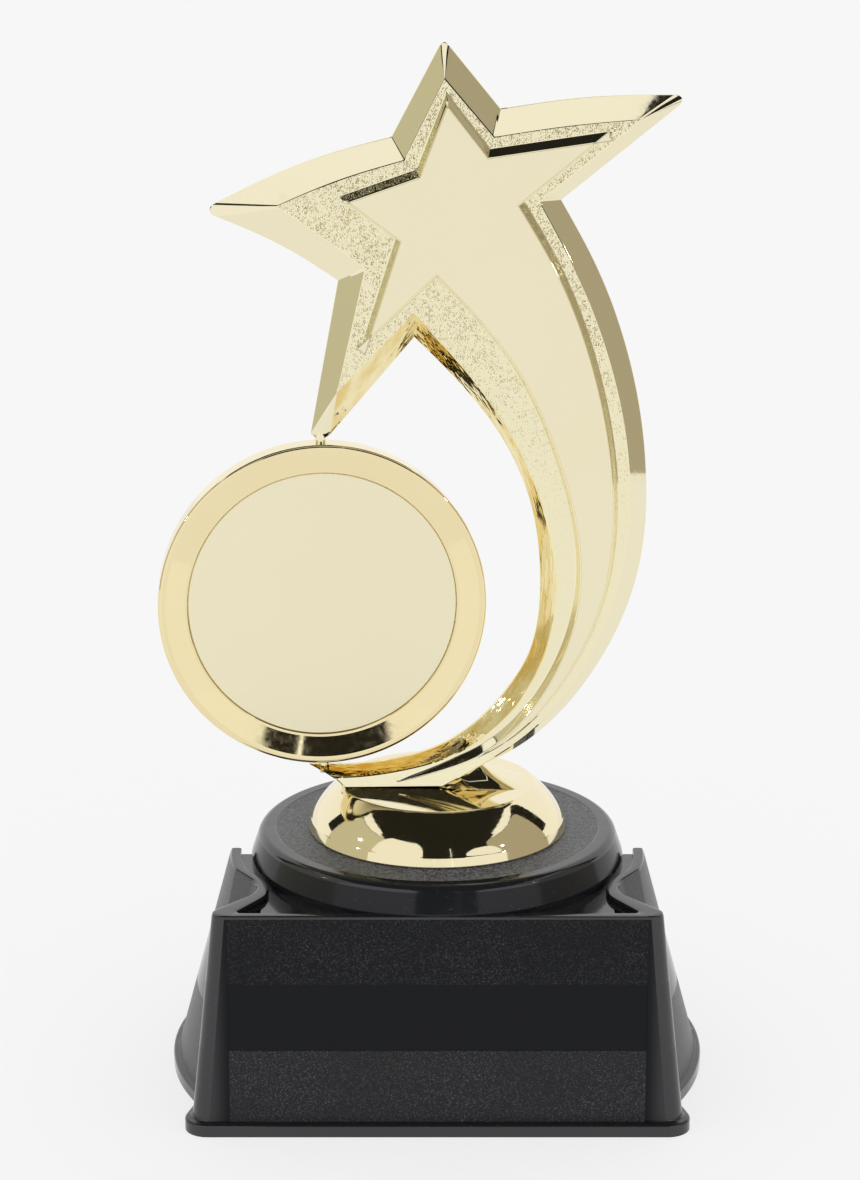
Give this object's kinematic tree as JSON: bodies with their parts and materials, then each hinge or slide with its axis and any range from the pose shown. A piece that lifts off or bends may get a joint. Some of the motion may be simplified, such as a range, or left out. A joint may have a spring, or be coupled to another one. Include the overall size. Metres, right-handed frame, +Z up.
{
  "type": "star trophy",
  "caption": "Gold shooting-star figure with a turning insert disc held between the star and its curved tail, on a black base with a flat plate band.",
  "frame": {"origin": "centre of the base's round back part, on the surface that the trophy stands on", "axes": "+Z up; the figure and the plate band face -Y; +X is to the right of someone facing the trophy"},
  "size_m": [0.1047, 0.0907, 0.1956],
  "materials": {
    "base_black": "black, fine-grained with a smooth glossy band",
    "base_felt": "black felt",
    "base_board": "raw hardboard",
    "weight_iron": "rough cast",
    "gold_plastic": "gold metallised, mirror-like",
    "insert_foil": "gold satin anodised",
    "bolt_steel": "zinc plated"
  },
  "bodies": {
    "stand": {"base_shell": "base_black", "base_felt": "base_felt", "base_board": "base_board", "base_weight": "weight_iron", "figure_front_shell": "gold_plastic", "figure_rear_shell": "gold_plastic", "figure_foot": "gold_plastic", "fixing_bolt": "bolt_steel", "fixing_washer": "bolt_steel", "captive_nut": "bolt_steel"},
    "spinner": {"disc_front_half": "gold_plastic", "disc_rear_half": "gold_plastic", "front_insert": "insert_foil", "rear_insert": "insert_foil", "upper_pivot_pin": "gold_plastic", "lower_pivot_pin": "gold_plastic"}
  },
  "joints": [
    {"name": "disc_spin", "type": "hinge", "parent": "stand", "child": "spinner", "pos_m": [-0.0218, 0, 0.0914], "axis": [0, 0, 1], "continuous": true}
  ]
}
